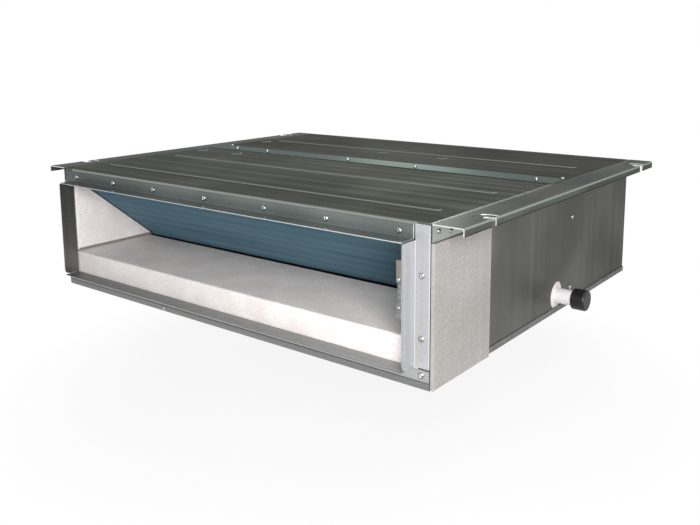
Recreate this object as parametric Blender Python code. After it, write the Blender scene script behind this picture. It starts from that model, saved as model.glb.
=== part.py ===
"""Slim ducted air conditioner: a galvanised ceiling unit with its outlet at the front.

Frame: X is the width, +Y runs to the rear (air inlet), +Z is up.
The origin is the centre of the casing's underside. All sizes are in metres.
Depths along Y are written from the casing's front plane and placed by at().
"""
import math

import bpy
import bmesh
from mathutils import Vector

for old in list(bpy.data.objects):
    bpy.data.objects.remove(old, do_unlink=True)

# Driving sizes of the casing
CASE_W = 0.800
CASE_D = 0.700
CASE_H = 0.220
SHEET = 0.0010
GAP = 0.0003
HALF = CASE_W / 2
FRONT = -CASE_D / 2

# Layers outwards from the side wall, then the flanges folded in from it
WALL_OUT = HALF - 0.0020
WALL_IN = WALL_OUT - SHEET
SKIN_IN = WALL_OUT + GAP
SKIN_OUT = SKIN_IN + SHEET
FOLD = 0.0180
FOLD_IN = WALL_OUT - FOLD
HEM = 0.0090
SKIN_DROP = 0.0120
TOP_UNDER = CASE_H - SHEET
WALL_LOW = SHEET + GAP
WALL_HIGH = TOP_UNDER - GAP
WALL_FRONT = SHEET + GAP
WALL_REAR = CASE_D - SHEET - GAP

# Supply collar: four folded angles on the front plane
LIP = 0.0280
APRON_DROP = 0.0045
APRON_TALL = 0.0190
APRON_HIGH = CASE_H - APRON_DROP
APRON_LOW = APRON_HIGH - APRON_TALL
COLLAR_LEG = 0.0260
OPEN_HALF = HALF - COLLAR_LEG
SILL_FLANGE = 0.0270
SIDE_LIP_TOP = APRON_LOW - SHEET
LIP_CORNER = 0.0090
FOLD_R = 0.0006

# Service clip inside the right lip
CLIP_DROP = 0.0216
CLIP_LONG = 0.0781
CLIP_HIGH = APRON_LOW - CLIP_DROP
CLIP_LOW = CLIP_HIGH - CLIP_LONG
CLIP_TAB = 0.0080
CLIP_WAIST = 0.0058
CLIP_TAB_LOW = 0.0204
CLIP_TAB_HIGH = 0.0296

# Top panels: the rear one laps over the front one in a raised band
BAND_FRONT = 0.3580
BAND_REAR = 0.4085
PRESS_H = 0.0014
PRESS_SLOPE = 0.0034
BEAD_W = 0.0150
BEADS_FRONT = (0.0780, 0.2340)
BEAD_EDGE = 0.0400
BEAD_HALF = HALF - BEAD_EDGE
REAR_BEAD_EDGE = 0.0440
BEAD_REAR = (0.5400, REAR_BEAD_EDGE - HALF, HALF - REAR_BEAD_EDGE)
DIMPLE_R = 0.0120
REAR_DIMPLE_EDGE = 0.0250
DIMPLES_FRONT = ((0.0230 - HALF, 0.3170), (0.1216 - HALF, 0.3206))
DIMPLES_REAR = ((-0.0430, 0.5080), (0.1050, 0.5060), (REAR_DIMPLE_EDGE - HALF, 0.5080))

# Hanger rails
RAIL_T = 0.0015
RAIL_LEG = 0.0245
RAIL_OUT = 0.0465
RAIL_LIP = 0.0108
SLOTS = (0.0750, 0.6350)
SLOT_R = 0.0065
SLOT_DEEP = 0.0175
SEAT_R = 0.0200
SEAT_SINK = 0.0008
SEAT_SLOPE = 0.0016

# Front side covers
COVER_BACK = 0.0397
COVER_DROP = RAIL_LEG + 0.0010
COVER_TOP = CASE_H - COVER_DROP
COVER_PROUD = 0.0040

# Evaporator: a slab that leans forward over the sill
COIL_FOOT = 0.0255
COIL_THICK = 0.0400
COIL_LEAN = math.radians(38.8)
COIL_UNDER = 0.0022
COIL_TOP = TOP_UNDER - COIL_UNDER - COIL_THICK * math.cos(COIL_LEAN)
COIL_CLEAR = 0.0025
COIL_HALF = OPEN_HALF - COIL_CLEAR
TUBE_ROWS = 2
TUBE_COLS = 8
TUBE_R = 0.0040
BEND_OUT = 0.0020

# Foam drain pan and foam cheeks
FOAM_HALF = WALL_IN - 0.0005
FOAM_FRONT = WALL_FRONT + SHEET + GAP
SILL_TOP = 0.0640
PAN_END_TOP = 0.0520
PAN_END_THICK = 0.0250
PAN_BACK_TOP = 0.0600
TROUGH_FRONT = 0.0280
TROUGH_BACK = 0.0180
FOAM_SHADOW = 0.0015
SILL_GAP = 0.0090
CHEEK_NOTCH = 0.0040
COIL_LIFT = 0.0020
COIL_LONG = (COIL_TOP - PAN_END_TOP - COIL_LIFT) / math.sin(COIL_LEAN)
COVER_SEAM = COIL_FOOT + COIL_LONG * math.cos(COIL_LEAN) - COVER_BACK

# Drain
DRAIN_Y = 0.3910
DRAIN_Z = 0.0285
DRAIN_R = 0.0125
DRAIN_BORE = 0.0100
DRAIN_HOLE = 0.0230
DRAIN_OUT = 0.0460
CAP_R = 0.0172
CAP_FROM = 0.0278
CAP_LONG = 0.0232
CAP_START = HALF + CAP_FROM
CAP_END = CAP_START + CAP_LONG
CAP_WALL = 0.0035

# Fan deck and fans
DECK_Y = 0.4135
DECK_T = 0.0012
DECK_FOLD = 0.0425
DECK_FOOT = 0.0250
PAN_REAR = DECK_Y - 0.0008
FAN_CLEAR = 0.0050
SCROLL_RISE = 0.0065
SCROLL_GROW = 0.0285
FAN_BACK = 0.1105
AXIS_Y = DECK_Y + FAN_BACK
AXIS_Z = CASE_H / 2 - FAN_CLEAR
SCROLL_MAX = AXIS_Z - SCROLL_RISE
SCROLL_MIN = SCROLL_MAX - SCROLL_GROW
SCROLL_W = 0.1750
SCROLL_T = 0.0015
SCROLL_X = 0.2150
OUTLET_LOW = 0.0115
WHEEL_CLEAR = 0.0060
BLADE_DEEP = 0.0105
WHEEL_R = SCROLL_MIN - WHEEL_CLEAR
WHEEL_IN = WHEEL_R - BLADE_DEEP
INLET_R = WHEEL_IN - 0.0005
WHEEL_W = 0.1600
BLADES = 24
BLADE_T = 0.0010
SHAFT_R = 0.0060
MOTOR_R = 0.0450
MOTOR_W = 0.1040
BOSS_R = 0.0240
BOSS_W = 0.0140
CRADLE_HALF = 0.0420
EAR_HALF = 0.0340

# Refrigerant pipes on the left
GAS_R = 0.00635
LIQUID_R = 0.0032
GAS_REACH = 0.0560
LIQUID_REACH = 0.0380
GAS_END = HALF + GAS_REACH
LIQUID_END = HALF + LIQUID_REACH

# Control box on the left
BOX_OUT = 0.0720
BOX_START = 0.4100
BOX_LONG = 0.1950
BOX_LOW = 0.0300
BOX_DROP = 0.0400
LID_LAP = 0.0120
BOARD_EDGE = 0.0200
BOARD_TOP = 0.0300
BOARD_LONG = 0.1050
BOARD_STAND = 0.0060
CAN_R = 0.0100
CAN_DROP = 0.0280
WAY = 0.0122
BOX_Y = (BOX_START, BOX_START + BOX_LONG)
BOX_Z = (BOX_LOW, CASE_H - BOX_DROP)

# Return air side
GUIDE_EDGE = 0.0280
GUIDE_DEEP = 0.0200
GUIDE_LOW = 0.0120
GUIDE_DROP = 0.0080
FILTER_T = 0.0120
FILTER_PLAY = 0.0017
FILTER_DROP = 0.0150
FILTER_LOW = 0.0160
WINDOW_EDGE = 0.0550
WINDOW_LOW = 0.0300
WINDOW_DROP = 0.0270
GUIDE_OUT = HALF - GUIDE_EDGE
GUIDE_IN = GUIDE_OUT - GUIDE_DEEP
GUIDE_D = FILTER_T + FILTER_PLAY + 2 * SHEET
FILTER_Z = (FILTER_LOW, CASE_H - FILTER_DROP)
WINDOW_HALF = HALF - WINDOW_EDGE
WINDOW_Z = (WINDOW_LOW, CASE_H - WINDOW_DROP)


def at(depth):
    """World Y of a depth measured from the front plane."""
    return FRONT + depth


def material(name, colour, metallic, roughness):
    """A Principled material with its own colour."""
    mat = bpy.data.materials.new(name)
    mat.use_nodes = True
    shader = mat.node_tree.nodes["Principled BSDF"]
    shader.inputs["Base Color"].default_value = (*colour, 1.0)
    shader.inputs["Metallic"].default_value = metallic
    shader.inputs["Roughness"].default_value = roughness
    mat.diffuse_color = (*colour, 1.0)
    return mat


ZINC = ("zinc", (0.33, 0.34, 0.33), 0.9, 0.35)
ZINC_PALE = ("zinc_pale", (0.60, 0.59, 0.57), 0.5, 0.50)
FOAM = ("foam", (0.86, 0.84, 0.83), 0.0, 0.85)
FIN_BLUE = ("fin_blue", (0.06, 0.16, 0.24), 0.3, 0.45)
COPPER = ("copper", (0.62, 0.29, 0.16), 0.9, 0.30)
BRASS = ("brass", (0.62, 0.47, 0.20), 0.9, 0.30)
WHITE = ("white_plastic", (0.85, 0.85, 0.84), 0.0, 0.40)
BLACK = ("black_rubber", (0.03, 0.03, 0.03), 0.0, 0.60)
DARK = ("dark_plastic", (0.06, 0.06, 0.07), 0.0, 0.50)
BOARD = ("green_board", (0.05, 0.22, 0.10), 0.0, 0.50)
STEEL = ("steel", (0.45, 0.45, 0.46), 1.0, 0.30)
MESH = ("filter_mesh", (0.20, 0.22, 0.24), 0.0, 0.80)


def build(name, verts, faces):
    """A mesh object from points and faces, normals facing out."""
    mesh = bpy.data.meshes.new(name)
    mesh.from_pydata(verts, [], faces)
    tidy = bmesh.new()
    tidy.from_mesh(mesh)
    bmesh.ops.remove_doubles(tidy, verts=tidy.verts, dist=0.0000001)
    bmesh.ops.recalc_face_normals(tidy, faces=tidy.faces)
    tidy.to_mesh(mesh)
    tidy.free()
    obj = bpy.data.objects.new(name, mesh)
    bpy.context.scene.collection.objects.link(obj)
    return obj


def prism(outline, axis, low, high, name="prism"):
    """An outline in the plane across the axis, extruded from low to high.

    The outline is (y, z) for X, (x, z) for Y and (x, y) for Z.
    """
    place = {
        "X": lambda a, b, c: (c, a, b),
        "Y": lambda a, b, c: (a, c, b),
        "Z": lambda a, b, c: (a, b, c),
    }[axis]
    count = len(outline)
    verts = [place(a, b, low) for a, b in outline]
    verts += [place(a, b, high) for a, b in outline]
    faces = [tuple(range(count)), tuple(range(count, 2 * count))]
    for i in range(count):
        j = (i + 1) % count
        faces.append((i, j, j + count, i + count))
    return build(name, verts, faces)


def block(low, high, name="block"):
    """A box between two corners."""
    x0, y0, z0 = low
    x1, y1, z1 = high
    return prism([(x0, y0), (x1, y0), (x1, y1), (x0, y1)], "Z", z0, z1, name)


def circle(cx, cy, radius, count, start=0.0):
    """Points of a circle in a plane."""
    points = []
    for i in range(count):
        a = start + 2 * math.pi * i / count
        points.append((cx + radius * math.cos(a), cy + radius * math.sin(a)))
    return points


def combine(obj, others, operation):
    """Boolean of an object with others, applied at once; the others go."""
    for other in others:
        other.hide_render = True
        other.display_type = "WIRE"
        step = obj.modifiers.new("bool", "BOOLEAN")
        step.operation = operation
        step.solver = "EXACT"
        step.object = other
        bpy.context.view_layer.update()
        graph = bpy.context.evaluated_depsgraph_get()
        result = bpy.data.meshes.new_from_object(obj.evaluated_get(graph))
        obj.modifiers.clear()
        obj.data = result
        bpy.data.objects.remove(other, do_unlink=True)
    return obj


def join(obj, others):
    return combine(obj, others, "UNION")


def cut(obj, others):
    return combine(obj, others, "DIFFERENCE")


def finish(obj, name, look, smooth=35.0, parent=None):
    """Name a finished piece, give it its material and its shading."""
    obj.name = name
    obj.data.name = name
    clean = bmesh.new()
    clean.from_mesh(obj.data)
    bmesh.ops.remove_doubles(clean, verts=clean.verts, dist=0.000004)
    bmesh.ops.dissolve_degenerate(clean, dist=0.000001, edges=clean.edges)
    clean.to_mesh(obj.data)
    clean.free()
    slot = look[0] + "_" + name
    obj.data.materials.clear()
    obj.data.materials.append(material(slot, *look[1:]))
    obj.data.shade_smooth()
    obj.data.set_sharp_from_angle(angle=math.radians(smooth))
    if parent is not None:
        obj.parent = parent
        obj.matrix_parent_inverse = parent.matrix_world.inverted()
    return obj


def folded(path, thick, side, radius, steps=3):
    """Cross-section of a folded sheet as a closed outline.

    The path is one face of the sheet; side +1 puts the metal on its left.
    Each corner gets the inside bend radius.
    """
    face, back = [], []
    last = len(path) - 1
    for i, (px, py) in enumerate(path):
        corner = Vector((px, py))
        if i in (0, last):
            a = Vector(path[i - 1] if i else path[0])
            b = Vector(path[i] if i else path[1])
            run = (b - a).normalized()
            left = Vector((-run.y, run.x))
            face.append(corner)
            back.append(corner + side * thick * left)
            continue
        run1 = (corner - Vector(path[i - 1])).normalized()
        run2 = (Vector(path[i + 1]) - corner).normalized()
        n1 = Vector((-run1.y, run1.x))
        n2 = Vector((-run2.y, run2.x))
        turn = 1 if run1.x * run2.y - run1.y * run2.x > 0 else -1
        ref = radius + thick if turn == side else radius
        centre = corner + turn * ref * (n1 + n2) / (1 + n1.dot(n2))
        angle = math.acos(max(-1.0, min(1.0, n1.dot(n2))))
        for k in range(steps + 1):
            a = turn * angle * k / steps
            n = Vector((n1.x * math.cos(a) - n1.y * math.sin(a),
                        n1.x * math.sin(a) + n1.y * math.cos(a)))
            on_face = centre - turn * ref * n
            face.append(on_face)
            back.append(on_face + side * thick * n)
    return [tuple(p) for p in face + back[::-1]]


def mirror_outline(outline):
    """The outline reflected in its first coordinate."""
    return [(-a, b) for a, b in outline]


def lathe(profile, centre, count, name="lathe"):
    """A closed profile of (x, radius) turned about an axis along X.

    Points of zero radius close the solid on its axis.
    """
    verts, faces = [], []
    size = len(profile)
    for i in range(count):
        a = 2 * math.pi * i / count
        for x, r in profile:
            verts.append((x, centre[0] + r * math.cos(a), centre[1] + r * math.sin(a)))
    for i in range(count):
        j = (i + 1) % count
        for k in range(size):
            m = (k + 1) % size
            if profile[k][1] == 0 and profile[m][1] == 0:
                continue
            ring = [i * size + k, i * size + m, j * size + m, j * size + k]
            if profile[k][1] == 0:
                ring = ring[:3]
            elif profile[m][1] == 0:
                ring = [ring[0], ring[1], ring[3]]
            faces.append(tuple(ring))
    return build(name, verts, faces)


def swept(path, radius, sides, name="tube"):
    """A solid round bar along a path of points, with flat ends."""
    points = [Vector(p) for p in path]
    runs = []
    for i in range(len(points)):
        a = points[max(i - 1, 0)]
        b = points[min(i + 1, len(points) - 1)]
        runs.append((b - a).normalized())
    across = runs[0].orthogonal().normalized()
    verts, faces = [], []
    for i, (p, run) in enumerate(zip(points, runs)):
        across = (across - across.dot(run) * run).normalized()
        up = run.cross(across)
        for k in range(sides):
            a = 2 * math.pi * k / sides
            verts.append(tuple(p + radius * (math.cos(a) * across + math.sin(a) * up)))
        if i:
            for k in range(sides):
                m = (k + 1) % sides
                o = (i - 1) * sides
                faces.append((o + k, o + m, o + sides + m, o + sides + k))
    faces.append(tuple(range(sides)))
    faces.append(tuple(range((len(points) - 1) * sides, len(points) * sides)))
    return build(name, verts, faces)


def pressing(outline_low, outline_high, z_low, z_high):
    """A shallow raised form with sloped sides, from two outlines of equal count."""
    count = len(outline_low)
    verts = [(x, y, z_low) for x, y in outline_low]
    verts += [(x, y, z_high) for x, y in outline_high]
    faces = [tuple(range(count)), tuple(range(count, 2 * count))]
    for i in range(count):
        j = (i + 1) % count
        faces.append((i, j, j + count, i + count))
    return build("pressing", verts, faces)


def stadium(x0, x1, y, radius, steps=4):
    """A long outline with round ends, along X."""
    points = []
    for k in range(steps + 1):
        a = -math.pi / 2 + math.pi * k / steps
        points.append((x1 + radius * math.cos(a), y + radius * math.sin(a)))
    for k in range(steps + 1):
        a = math.pi / 2 + math.pi * k / steps
        points.append((x0 + radius * math.cos(a), y + radius * math.sin(a)))
    return points


def press_out(panel, shapes):
    """Raise pressings in a top sheet: proud above, hollow below.

    Each shape is a function of a radius that returns its outline.
    """
    for shape, radius in shapes:
        inside = radius - SHEET * 0.9
        outer = pressing(shape(radius), shape(radius - PRESS_SLOPE),
                         TOP_UNDER + SHEET * 0.5, CASE_H + PRESS_H)
        inner = pressing(shape(inside), shape(inside - PRESS_SLOPE),
                         TOP_UNDER - SHEET * 0.5, TOP_UNDER + PRESS_H)
        join(panel, [outer])
        cut(panel, [inner])
    return panel


def soften(obj, width, segments, chosen):
    """Bevel the edges that the test picks, in the mesh itself."""
    work = bmesh.new()
    work.from_mesh(obj.data)
    edges = [e for e in work.edges if chosen((e.verts[0].co + e.verts[1].co) / 2,
                                            e.verts[1].co - e.verts[0].co)]
    bmesh.ops.bevel(work, geom=edges, offset=width, segments=segments,
                    profile=0.5, affect="EDGES")
    work.to_mesh(obj.data)
    work.free()
    return obj


# Side panels: shallow trays with a fold on every edge
def side_panel(side, name, holes):
    outer = block((side * FOLD_IN, at(WALL_FRONT), WALL_LOW),
                  (side * WALL_OUT, at(WALL_REAR), WALL_HIGH))
    inner = block((side * (FOLD_IN - 0.002), at(WALL_FRONT + SHEET), WALL_LOW + SHEET),
                  (side * WALL_IN, at(WALL_REAR - SHEET), WALL_HIGH - SHEET))
    cutters = [inner]
    for depth, z, radius in holes:
        ring = circle(at(depth), z, radius, 28 if radius > 0.012 else 14)
        cutters.append(prism(ring, "X", side * (WALL_IN - 0.002), side * (WALL_OUT + 0.002)))
    return finish(cut(outer, cutters), name, ZINC)


# Coil frame of reference in the Y-Z plane
SLOPE = Vector((math.cos(COIL_LEAN), -math.sin(COIL_LEAN)))
NORMAL = Vector((math.sin(COIL_LEAN), math.cos(COIL_LEAN)))


def coil_point(along, deep):
    """World (y, z) of a point on the coil: down its face, then into it."""
    start = Vector((at(COIL_FOOT), COIL_TOP))
    spot = start + along * SLOPE + deep * NORMAL
    return (spot.x, spot.y)


def coil_tube(row, col):
    """Centre of one tube of the coil."""
    pitch = COIL_LONG / TUBE_COLS
    row_pitch = COIL_THICK / TUBE_ROWS
    return coil_point((col + 0.5) * pitch, (row + 0.5) * row_pitch)


GAS_TOP = 0.0400
GAS_FOOT = 0.0600
GAS_ALONG = (GAS_TOP, COIL_LONG - GAS_FOOT)
GAS_DEEP = COIL_THICK + 0.0120
GAS_OFF = 0.0115
GAS_X = COIL_HALF + GAS_OFF
GAS_BEND = 0.0140
gas_y, gas_z = coil_point(GAS_ALONG[1] + GAS_BEND, GAS_DEEP)
liquid_y, liquid_z = coil_tube(TUBE_ROWS - 1, TUBE_COLS - 1)
gas_depth = gas_y - FRONT
liquid_depth = liquid_y - FRONT
CABLE_Y = 0.5000
CABLE_Z = 0.1050
CABLE_R = 0.0100

drain_hole = (DRAIN_Y, DRAIN_Z, DRAIN_HOLE)
side_panel(1, "side_panel_right", [drain_hole])
side_panel(-1, "side_panel_left", [drain_hole,
                                   (gas_depth, gas_z, GAS_R + GAP * 2),
                                   (liquid_depth, liquid_z, LIQUID_R + GAP * 2),
                                   (CABLE_Y, CABLE_Z, CABLE_R)])


# Front top panel, with a rounded front bend, two long beads and two dimples
top_end = at(BAND_REAR - SHEET - 0.0005)
top_front = prism(folded([(at(WALL_FRONT), APRON_LOW + 0.0020), (at(WALL_FRONT), CASE_H),
                          (top_end, CASE_H)], SHEET, -1, 0.0012),
                  "X", -SKIN_OUT, SKIN_OUT)
spares = []
sides = []
for side in (-1, 1):
    spares.append(block((side * (FOLD_IN - 0.0015), at(0.0), APRON_LOW),
                        (side * HALF, at(WALL_FRONT + 0.0030), TOP_UNDER)))
    sides.append(block((side * SKIN_IN, at(WALL_FRONT + 0.0030), CASE_H - SKIN_DROP),
                       (side * SKIN_OUT, top_end, TOP_UNDER + SHEET * 0.5)))
join(cut(top_front, spares), sides)
shapes = []
for depth in BEADS_FRONT:
    shapes.append((lambda r, d=depth: stadium(-BEAD_HALF, BEAD_HALF, at(d), r),
                   BEAD_W / 2))
for x, depth in DIMPLES_FRONT:
    shapes.append((lambda r, x=x, d=depth: circle(x, at(d), r, 16), DIMPLE_R))
finish(press_out(top_front, shapes), "top_panel_front", ZINC, 50)

# Rear top panel, whose front edge steps up over the front panel
plate = block((-SKIN_OUT, at(BAND_REAR - SHEET), TOP_UNDER),
              (SKIN_OUT, at(WALL_REAR), CASE_H))
band_low = CASE_H + GAP
band_high = band_low + SHEET
parts = [block((-SKIN_OUT, at(BAND_REAR - SHEET), TOP_UNDER + SHEET * 0.2),
               (SKIN_OUT, at(BAND_REAR), band_high)),
         block((-SKIN_OUT, at(BAND_FRONT), band_low),
               (SKIN_OUT, at(BAND_REAR - SHEET * 0.5), band_high)),
         block((-(FOLD_IN - 0.0015), at(WALL_REAR - SHEET), CASE_H - FOLD),
               (FOLD_IN - 0.0015, at(WALL_REAR), CASE_H))]
for side in (-1, 1):
    parts.append(block((side * SKIN_IN, at(BAND_REAR), CASE_H - SKIN_DROP),
                       (side * SKIN_OUT, at(WALL_REAR), CASE_H)))
top_rear = join(plate, parts)
depth, x0, x1 = BEAD_REAR
shapes = [(lambda r: stadium(x0, x1, at(depth), r), BEAD_W / 2)]
for x, d in DIMPLES_REAR:
    shapes.append((lambda r, x=x, d=d: circle(x, at(d), r, 16), DIMPLE_R))
finish(press_out(top_rear, shapes), "top_panel_rear", ZINC, 50)


# Bottom panels, with an upturned hem outside the side walls
def bottom_panel(name, y0, y1, hem_y):
    plate = block((-SKIN_OUT, y0, 0.0), (SKIN_OUT, y1, SHEET))
    edges = [block((-SKIN_OUT, hem_y[0], 0.0), (SKIN_OUT, hem_y[1], HEM))]
    for side in (-1, 1):
        edges.append(block((side * SKIN_IN, y0, 0.0), (side * SKIN_OUT, y1, HEM)))
    return finish(join(plate, edges), name, ZINC)


hem_out = SHEET + GAP
bottom_panel("bottom_panel_front", at(-hem_out), at(DECK_Y - 0.0005),
             (at(-hem_out), at(-GAP)))
bottom_panel("bottom_panel_rear", at(DECK_Y - 0.0005 + GAP), at(CASE_D + hem_out),
             (at(CASE_D + GAP), at(CASE_D + hem_out)))


# Front side covers: removable trays over the coil's ends
def side_cover(side, name):
    inside = HALF - 0.0004
    outside = HALF + COVER_PROUD
    outer = block((side * inside, at(0.0005), 0.0), (side * outside, at(COVER_SEAM), COVER_TOP))
    soften(outer, 0.0009, 2, lambda mid, run: abs(abs(mid.x) - outside) < 1e-5)
    inner = block((side * (inside - 0.001), at(0.0005 + SHEET), SHEET),
                  (side * (outside - SHEET), at(COVER_SEAM - SHEET), COVER_TOP - SHEET))
    return finish(cut(outer, [inner]), name, ZINC_PALE, 50)


side_cover(1, "side_cover_right")
side_cover(-1, "side_cover_left")


# Hanger rails: an inverted channel along each top edge, open slots for the rods.
# A shallow round seat for the rod's washer is pressed down around each slot.
def seat_outline(side, depth, centre, radius, outer):
    """A round seat about a slot's end, stopped short of the rail's outer bend."""
    stop = outer - RAIL_T - 0.0010 - centre
    reach = math.acos(stop / radius)
    points = []
    for k in range(13):
        a = reach + (2 * math.pi - 2 * reach) * k / 12
        points.append((side * (centre + radius * math.cos(a)), at(depth) + radius * math.sin(a)))
    return points


def hanger_rail(side, name):
    inner = HALF - 0.0004
    outer = HALF + RAIL_OUT
    outline = folded([(inner, CASE_H - RAIL_LEG), (inner, CASE_H),
                      (outer, CASE_H), (outer, CASE_H - RAIL_LIP)], RAIL_T, -1, 0.0008)
    if side < 0:
        outline = mirror_outline(outline)
    rail = prism(outline, "Y", at(0.0), at(CASE_D))
    round_end = outer - SLOT_DEEP + SLOT_R
    seats = []
    cutters = []
    for depth in SLOTS:
        rim = seat_outline(side, depth, round_end, SEAT_R, outer)
        floor = seat_outline(side, depth, round_end, SEAT_R - SEAT_SLOPE, outer)
        under = CASE_H - RAIL_T
        seats.append(pressing(floor, rim, under - SEAT_SINK, under + 0.0004))
        cutters.append(pressing(floor, rim, CASE_H - SEAT_SINK, CASE_H + 0.0004))
        shape = [(side * (outer + 0.004), at(depth) - SLOT_R)]
        for k in range(9):
            a = -math.pi / 2 - math.pi * k / 8
            shape.append((side * (round_end + SLOT_R * math.cos(a)),
                          at(depth) + SLOT_R * math.sin(a)))
        shape.append((side * (outer + 0.004), at(depth) + SLOT_R))
        cutters.append(prism(shape, "Z", CASE_H - RAIL_LIP - 0.003, CASE_H + 0.003))
    nip = 0.0060
    end = at(CASE_D)
    corner = [(side * (outer - nip), end + 0.001), (side * (outer + 0.001), end + 0.001),
              (side * (outer + 0.001), end - nip)]
    cutters.append(prism(corner, "Z", CASE_H - RAIL_LIP - 0.003, CASE_H + 0.003))
    return finish(cut(join(rail, seats), cutters), name, ZINC)


hanger_rail(1, "hanger_rail_right")
hanger_rail(-1, "hanger_rail_left")

# Supply collar: the apron runs from the left edge to the right leg
apron = prism(folded([(at(-LIP), APRON_LOW + SHEET), (at(0.0), APRON_LOW + SHEET),
                      (at(0.0), APRON_HIGH)], SHEET, -1, FOLD_R),
              "X", -(WALL_OUT - 0.0005), OPEN_HALF - GAP)
spare = block((-HALF, at(-LIP - 0.001), APRON_LOW - 0.001),
              (-OPEN_HALF, at(-GAP), APRON_LOW + SHEET + FOLD_R))
finish(cut(apron, [spare]), "collar_top", ZINC)

sill = prism(folded([(at(-LIP), SILL_FLANGE - SHEET), (at(0.0), SILL_FLANGE - SHEET),
                     (at(0.0), WALL_LOW)], SHEET, 1, FOLD_R),
             "X", -(WALL_OUT + 0.0002), WALL_OUT + 0.0002)
spares = []
for side in (-1, 1):
    spares.append(block((side * (OPEN_HALF - 0.0005), at(-LIP - 0.001), SILL_FLANGE - 0.0020),
                        (side * HALF, at(SHEET + 0.001), SILL_FLANGE + 0.001)))
finish(cut(sill, spares), "collar_bottom", ZINC)


def side_collar(side, top, name, look):
    """A vertical angle beside the opening; its lip ends below the apron."""
    low = SILL_FLANGE + 0.0005
    lip_out = OPEN_HALF + SHEET
    outline = folded([(lip_out, at(-LIP)), (lip_out, at(0.0)),
                      (WALL_OUT + 0.0002, at(0.0))], SHEET, 1, FOLD_R)
    if side < 0:
        outline = mirror_outline(outline)
    angle = prism(outline, "Z", low, top)
    cutters = []
    if top > SIDE_LIP_TOP:
        cutters.append(block((side * (OPEN_HALF - 0.002), at(-LIP - 0.001), SIDE_LIP_TOP),
                             (side * (lip_out + 0.0010), at(SHEET + 0.001), top + 0.002)))
    corner = [(at(-LIP) - 0.002, low - 0.002), (at(-LIP) + LIP_CORNER, low - 0.002)]
    for k in range(7):
        a = -math.pi / 2 - math.pi / 2 * k / 6
        corner.append((at(-LIP) + LIP_CORNER * (1 + math.cos(a)),
                       low + LIP_CORNER * (1 + math.sin(a))))
    corner.append((at(-LIP) - 0.002, low + LIP_CORNER))
    cutters.append(prism(corner, "X", side * (OPEN_HALF - 0.002), side * (lip_out + 0.002)))
    return finish(cut(angle, cutters), name, look)


side_collar(1, APRON_HIGH + 0.0020, "collar_right", ZINC)
side_collar(-1, SIDE_LIP_TOP + 0.0005, "collar_left", ZINC)

# Service clip on the inner face of the right lip
clip_face = OPEN_HALF - GAP
clip = block((clip_face - SHEET, at(-LIP + 0.0005), CLIP_LOW),
             (clip_face, at(-0.0030), CLIP_HIGH))
tab_x = clip_face - CLIP_TAB
waist_x = clip_face - CLIP_WAIST
waist_low = CLIP_LOW + CLIP_TAB_LOW
waist_high = CLIP_HIGH - CLIP_TAB_HIGH
ear = [(clip_face - SHEET * 0.5, CLIP_LOW), (tab_x, CLIP_LOW), (tab_x, waist_low),
       (waist_x, waist_low), (waist_x, waist_high), (tab_x, waist_high),
       (tab_x, CLIP_HIGH), (clip_face - SHEET * 0.5, CLIP_HIGH)]
flange = prism(ear, "Y", at(-LIP + 0.0005), at(-LIP + 0.0005 + SHEET))
finish(join(clip, [flange]), "outlet_clip", ZINC)

# Foam drain pan: the solid sill in front, the trough under the coil
sill_rear = COIL_FOOT + (COIL_TOP - SILL_TOP) / math.tan(COIL_LEAN) - SILL_GAP
pan_outline = [(FOAM_FRONT, FOAM_FRONT), (FOAM_FRONT, SILL_TOP), (sill_rear, SILL_TOP),
               (sill_rear + 0.0070, PAN_END_TOP), (PAN_REAR - 0.0115, PAN_END_TOP),
               (PAN_REAR - 0.0100, PAN_BACK_TOP), (PAN_REAR, PAN_BACK_TOP),
               (PAN_REAR, FOAM_FRONT)]
pan = prism([(at(a), b) for a, b in pan_outline], "X", -FOAM_HALF, FOAM_HALF)
soften(pan, 0.0030, 3, lambda mid, run: abs(run.x) > 0.5 and abs(mid.z - SILL_TOP) < 1e-5
       and mid.y < at(0.01))
trough = [(sill_rear + 0.0100, PAN_END_TOP + 0.004), (sill_rear + 0.0150, TROUGH_FRONT),
          (PAN_REAR - 0.0140, TROUGH_BACK), (PAN_REAR - 0.0112, PAN_END_TOP + 0.004)]
trough_half = FOAM_HALF - PAN_END_THICK
cutters = [prism([(at(a), b) for a, b in trough], "X", -trough_half, trough_half)]
for side in (-1, 1):
    cutters.append(prism(circle(at(DRAIN_Y), DRAIN_Z, DRAIN_R + GAP, 28), "X",
                         side * (trough_half + 0.006), side * (FOAM_HALF + 0.002)))
    cutters.append(prism(circle(at(DRAIN_Y), DRAIN_Z, DRAIN_BORE, 28), "X",
                         side * (trough_half - 0.004), side * (trough_half + 0.008)))
finish(cut(pan, cutters), "drain_pan", FOAM, 50)


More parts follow.
